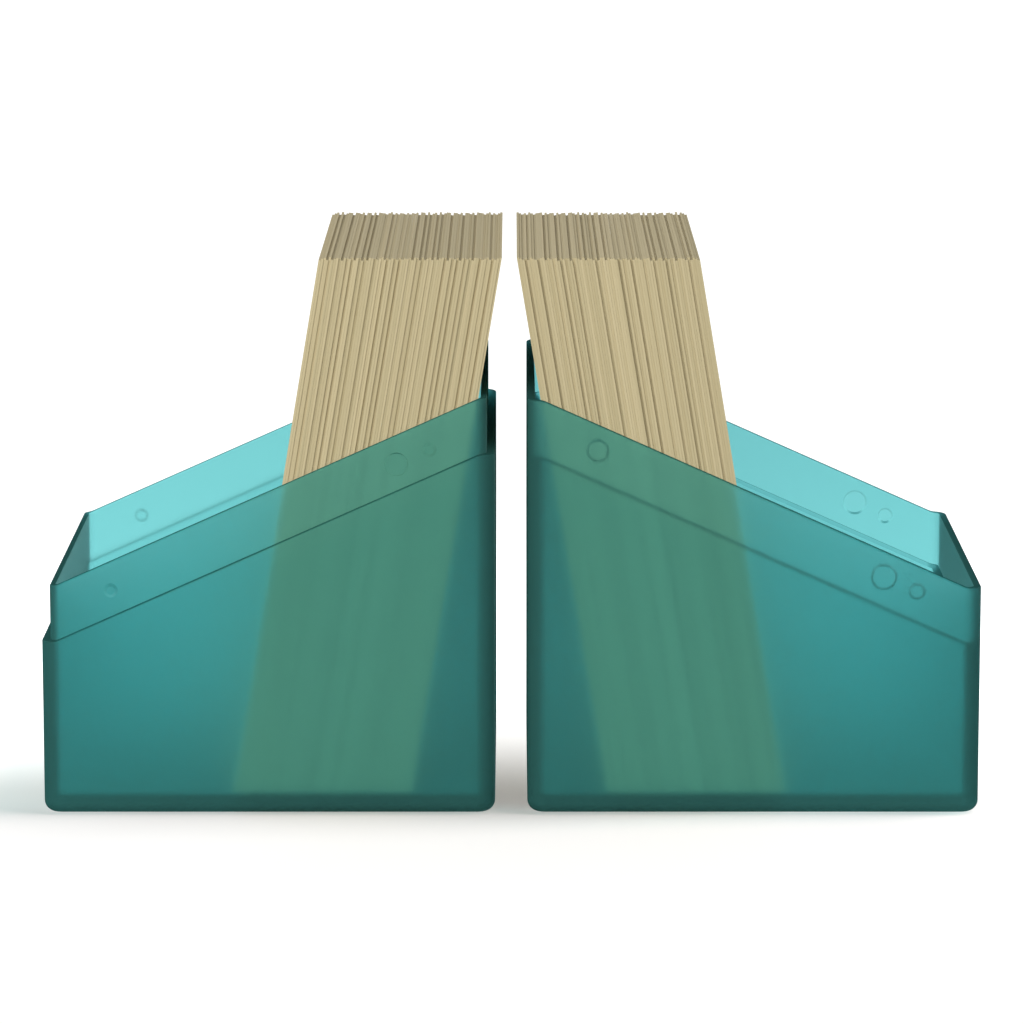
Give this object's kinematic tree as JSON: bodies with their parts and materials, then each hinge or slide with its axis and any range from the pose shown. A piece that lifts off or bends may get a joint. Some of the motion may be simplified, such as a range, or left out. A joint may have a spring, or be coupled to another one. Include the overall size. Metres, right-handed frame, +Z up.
{
  "type": "two-part card box",
  "caption": "Open two-part telescoping card box with a sloping split, standing as two trays side by side, each holding a leaning deck of sleeved cards.",
  "frame": {"origin": "on the table, midway between the two halves from left to right and midway between their front and back walls", "axes": "+Z up, +X from the base half to the cover half, -Y the front walls"},
  "size_m": [0.1572, 0.075, 0.0936],
  "materials": {
    "tray_plastic": "frosted translucent teal polypropylene, satin moulded surface",
    "card_stock": "matt tan card edges"
  },
  "bodies": {
    "base_half": {"base_shell": "tray_plastic"},
    "cover_half": {"cover_shell": "tray_plastic"},
    "base_deck": {"base_cards_01": "card_stock", "base_cards_02": "card_stock", "base_cards_03": "card_stock", "base_cards_04": "card_stock", "base_cards_05": "card_stock", "base_cards_06": "card_stock", "base_cards_07": "card_stock", "base_cards_08": "card_stock", "base_cards_09": "card_stock", "base_cards_10": "card_stock", "base_cards_11": "card_stock", "base_cards_12": "card_stock", "base_cards_13": "card_stock", "base_cards_14": "card_stock", "base_cards_15": "card_stock", "base_cards_16": "card_stock", "base_cards_17": "card_stock", "base_cards_18": "card_stock", "base_cards_19": "card_stock", "base_cards_20": "card_stock"},
    "cover_deck": {"cover_cards_01": "card_stock", "cover_cards_02": "card_stock", "cover_cards_03": "card_stock", "cover_cards_04": "card_stock", "cover_cards_05": "card_stock", "cover_cards_06": "card_stock", "cover_cards_07": "card_stock", "cover_cards_08": "card_stock", "cover_cards_09": "card_stock", "cover_cards_10": "card_stock", "cover_cards_11": "card_stock", "cover_cards_12": "card_stock", "cover_cards_13": "card_stock", "cover_cards_14": "card_stock", "cover_cards_15": "card_stock", "cover_cards_16": "card_stock", "cover_cards_17": "card_stock", "cover_cards_18": "card_stock", "cover_cards_19": "card_stock", "cover_cards_20": "card_stock"},
    "base_leaf_1": {"base_cards_26": "card_stock"},
    "base_leaf_2": {"base_cards_25": "card_stock"},
    "base_leaf_3": {"base_cards_24": "card_stock"},
    "base_leaf_4": {"base_cards_23": "card_stock"},
    "base_leaf_5": {"base_cards_22": "card_stock"},
    "base_leaf_6": {"base_cards_21": "card_stock"},
    "cover_leaf_1": {"cover_cards_26": "card_stock"},
    "cover_leaf_2": {"cover_cards_25": "card_stock"},
    "cover_leaf_3": {"cover_cards_24": "card_stock"},
    "cover_leaf_4": {"cover_cards_23": "card_stock"},
    "cover_leaf_5": {"cover_cards_22": "card_stock"},
    "cover_leaf_6": {"cover_cards_21": "card_stock"}
  },
  "joints": [
    {"name": "cover_lift", "type": "slide", "parent": "base_half", "child": "cover_half", "axis": [0, 0, 1], "range_m": [0, 0.12]},
    {"name": "base_deck_lift", "type": "slide", "parent": "base_half", "child": "base_deck", "axis": [0, 0, 1], "range_m": [0, 0.08]},
    {"name": "cover_deck_lift", "type": "slide", "parent": "cover_half", "child": "cover_deck", "axis": [0, 0, 1], "range_m": [0, 0.08]},
    {"name": "base_leaf_1_tip", "type": "hinge", "parent": "base_deck", "child": "base_leaf_1", "pos_m": [-0.04705, 0, 0.00282], "axis": [0, -1, 0], "range_deg": [0, 48]},
    {"name": "base_leaf_2_tip", "type": "hinge", "parent": "base_deck", "child": "base_leaf_2", "pos_m": [-0.0458, 0, 0.00282], "axis": [0, -1, 0], "range_deg": [0, 31.68]},
    {"name": "base_leaf_3_tip", "type": "hinge", "parent": "base_deck", "child": "base_leaf_3", "pos_m": [-0.04497, 0, 0.00282], "axis": [0, -1, 0], "range_deg": [0, 24]},
    {"name": "base_leaf_4_tip", "type": "hinge", "parent": "base_deck", "child": "base_leaf_4", "pos_m": [-0.04331, 0, 0.00282], "axis": [0, -1, 0], "range_deg": [0, 18.72]},
    {"name": "base_leaf_5_tip", "type": "hinge", "parent": "base_deck", "child": "base_leaf_5", "pos_m": [-0.04206, 0, 0.00282], "axis": [0, -1, 0], "range_deg": [0, 13.92]},
    {"name": "base_leaf_6_tip", "type": "hinge", "parent": "base_deck", "child": "base_leaf_6", "pos_m": [-0.04123, 0, 0.00282], "axis": [0, -1, 0], "range_deg": [0, 8.64]},
    {"name": "cover_leaf_1_tip", "type": "hinge", "parent": "cover_deck", "child": "cover_leaf_1", "pos_m": [0.04642, 0, 0.00282], "axis": [0, 1, 0], "range_deg": [0, 49.5]},
    {"name": "cover_leaf_2_tip", "type": "hinge", "parent": "cover_deck", "child": "cover_leaf_2", "pos_m": [0.04518, 0, 0.00282], "axis": [0, 1, 0], "range_deg": [0, 32.67]},
    {"name": "cover_leaf_3_tip", "type": "hinge", "parent": "cover_deck", "child": "cover_leaf_3", "pos_m": [0.04435, 0, 0.00282], "axis": [0, 1, 0], "range_deg": [0, 24.75]},
    {"name": "cover_leaf_4_tip", "type": "hinge", "parent": "cover_deck", "child": "cover_leaf_4", "pos_m": [0.04268, 0, 0.00282], "axis": [0, 1, 0], "range_deg": [0, 19.3]},
    {"name": "cover_leaf_5_tip", "type": "hinge", "parent": "cover_deck", "child": "cover_leaf_5", "pos_m": [0.04143, 0, 0.00282], "axis": [0, 1, 0], "range_deg": [0, 14.35]},
    {"name": "cover_leaf_6_tip", "type": "hinge", "parent": "cover_deck", "child": "cover_leaf_6", "pos_m": [0.0406, 0, 0.00282], "axis": [0, 1, 0], "range_deg": [0, 8.91]}
  ],
  "couplings": [
    {"joint": "base_leaf_2_tip", "follows": "base_leaf_1_tip", "ratio": 0.66},
    {"joint": "base_leaf_3_tip", "follows": "base_leaf_1_tip", "ratio": 0.5},
    {"joint": "base_leaf_4_tip", "follows": "base_leaf_1_tip", "ratio": 0.39},
    {"joint": "base_leaf_5_tip", "follows": "base_leaf_1_tip", "ratio": 0.29},
    {"joint": "base_leaf_6_tip", "follows": "base_leaf_1_tip", "ratio": 0.18},
    {"joint": "cover_leaf_2_tip", "follows": "cover_leaf_1_tip", "ratio": 0.66},
    {"joint": "cover_leaf_3_tip", "follows": "cover_leaf_1_tip", "ratio": 0.5},
    {"joint": "cover_leaf_4_tip", "follows": "cover_leaf_1_tip", "ratio": 0.39},
    {"joint": "cover_leaf_5_tip", "follows": "cover_leaf_1_tip", "ratio": 0.29},
    {"joint": "cover_leaf_6_tip", "follows": "cover_leaf_1_tip", "ratio": 0.18}
  ]
}
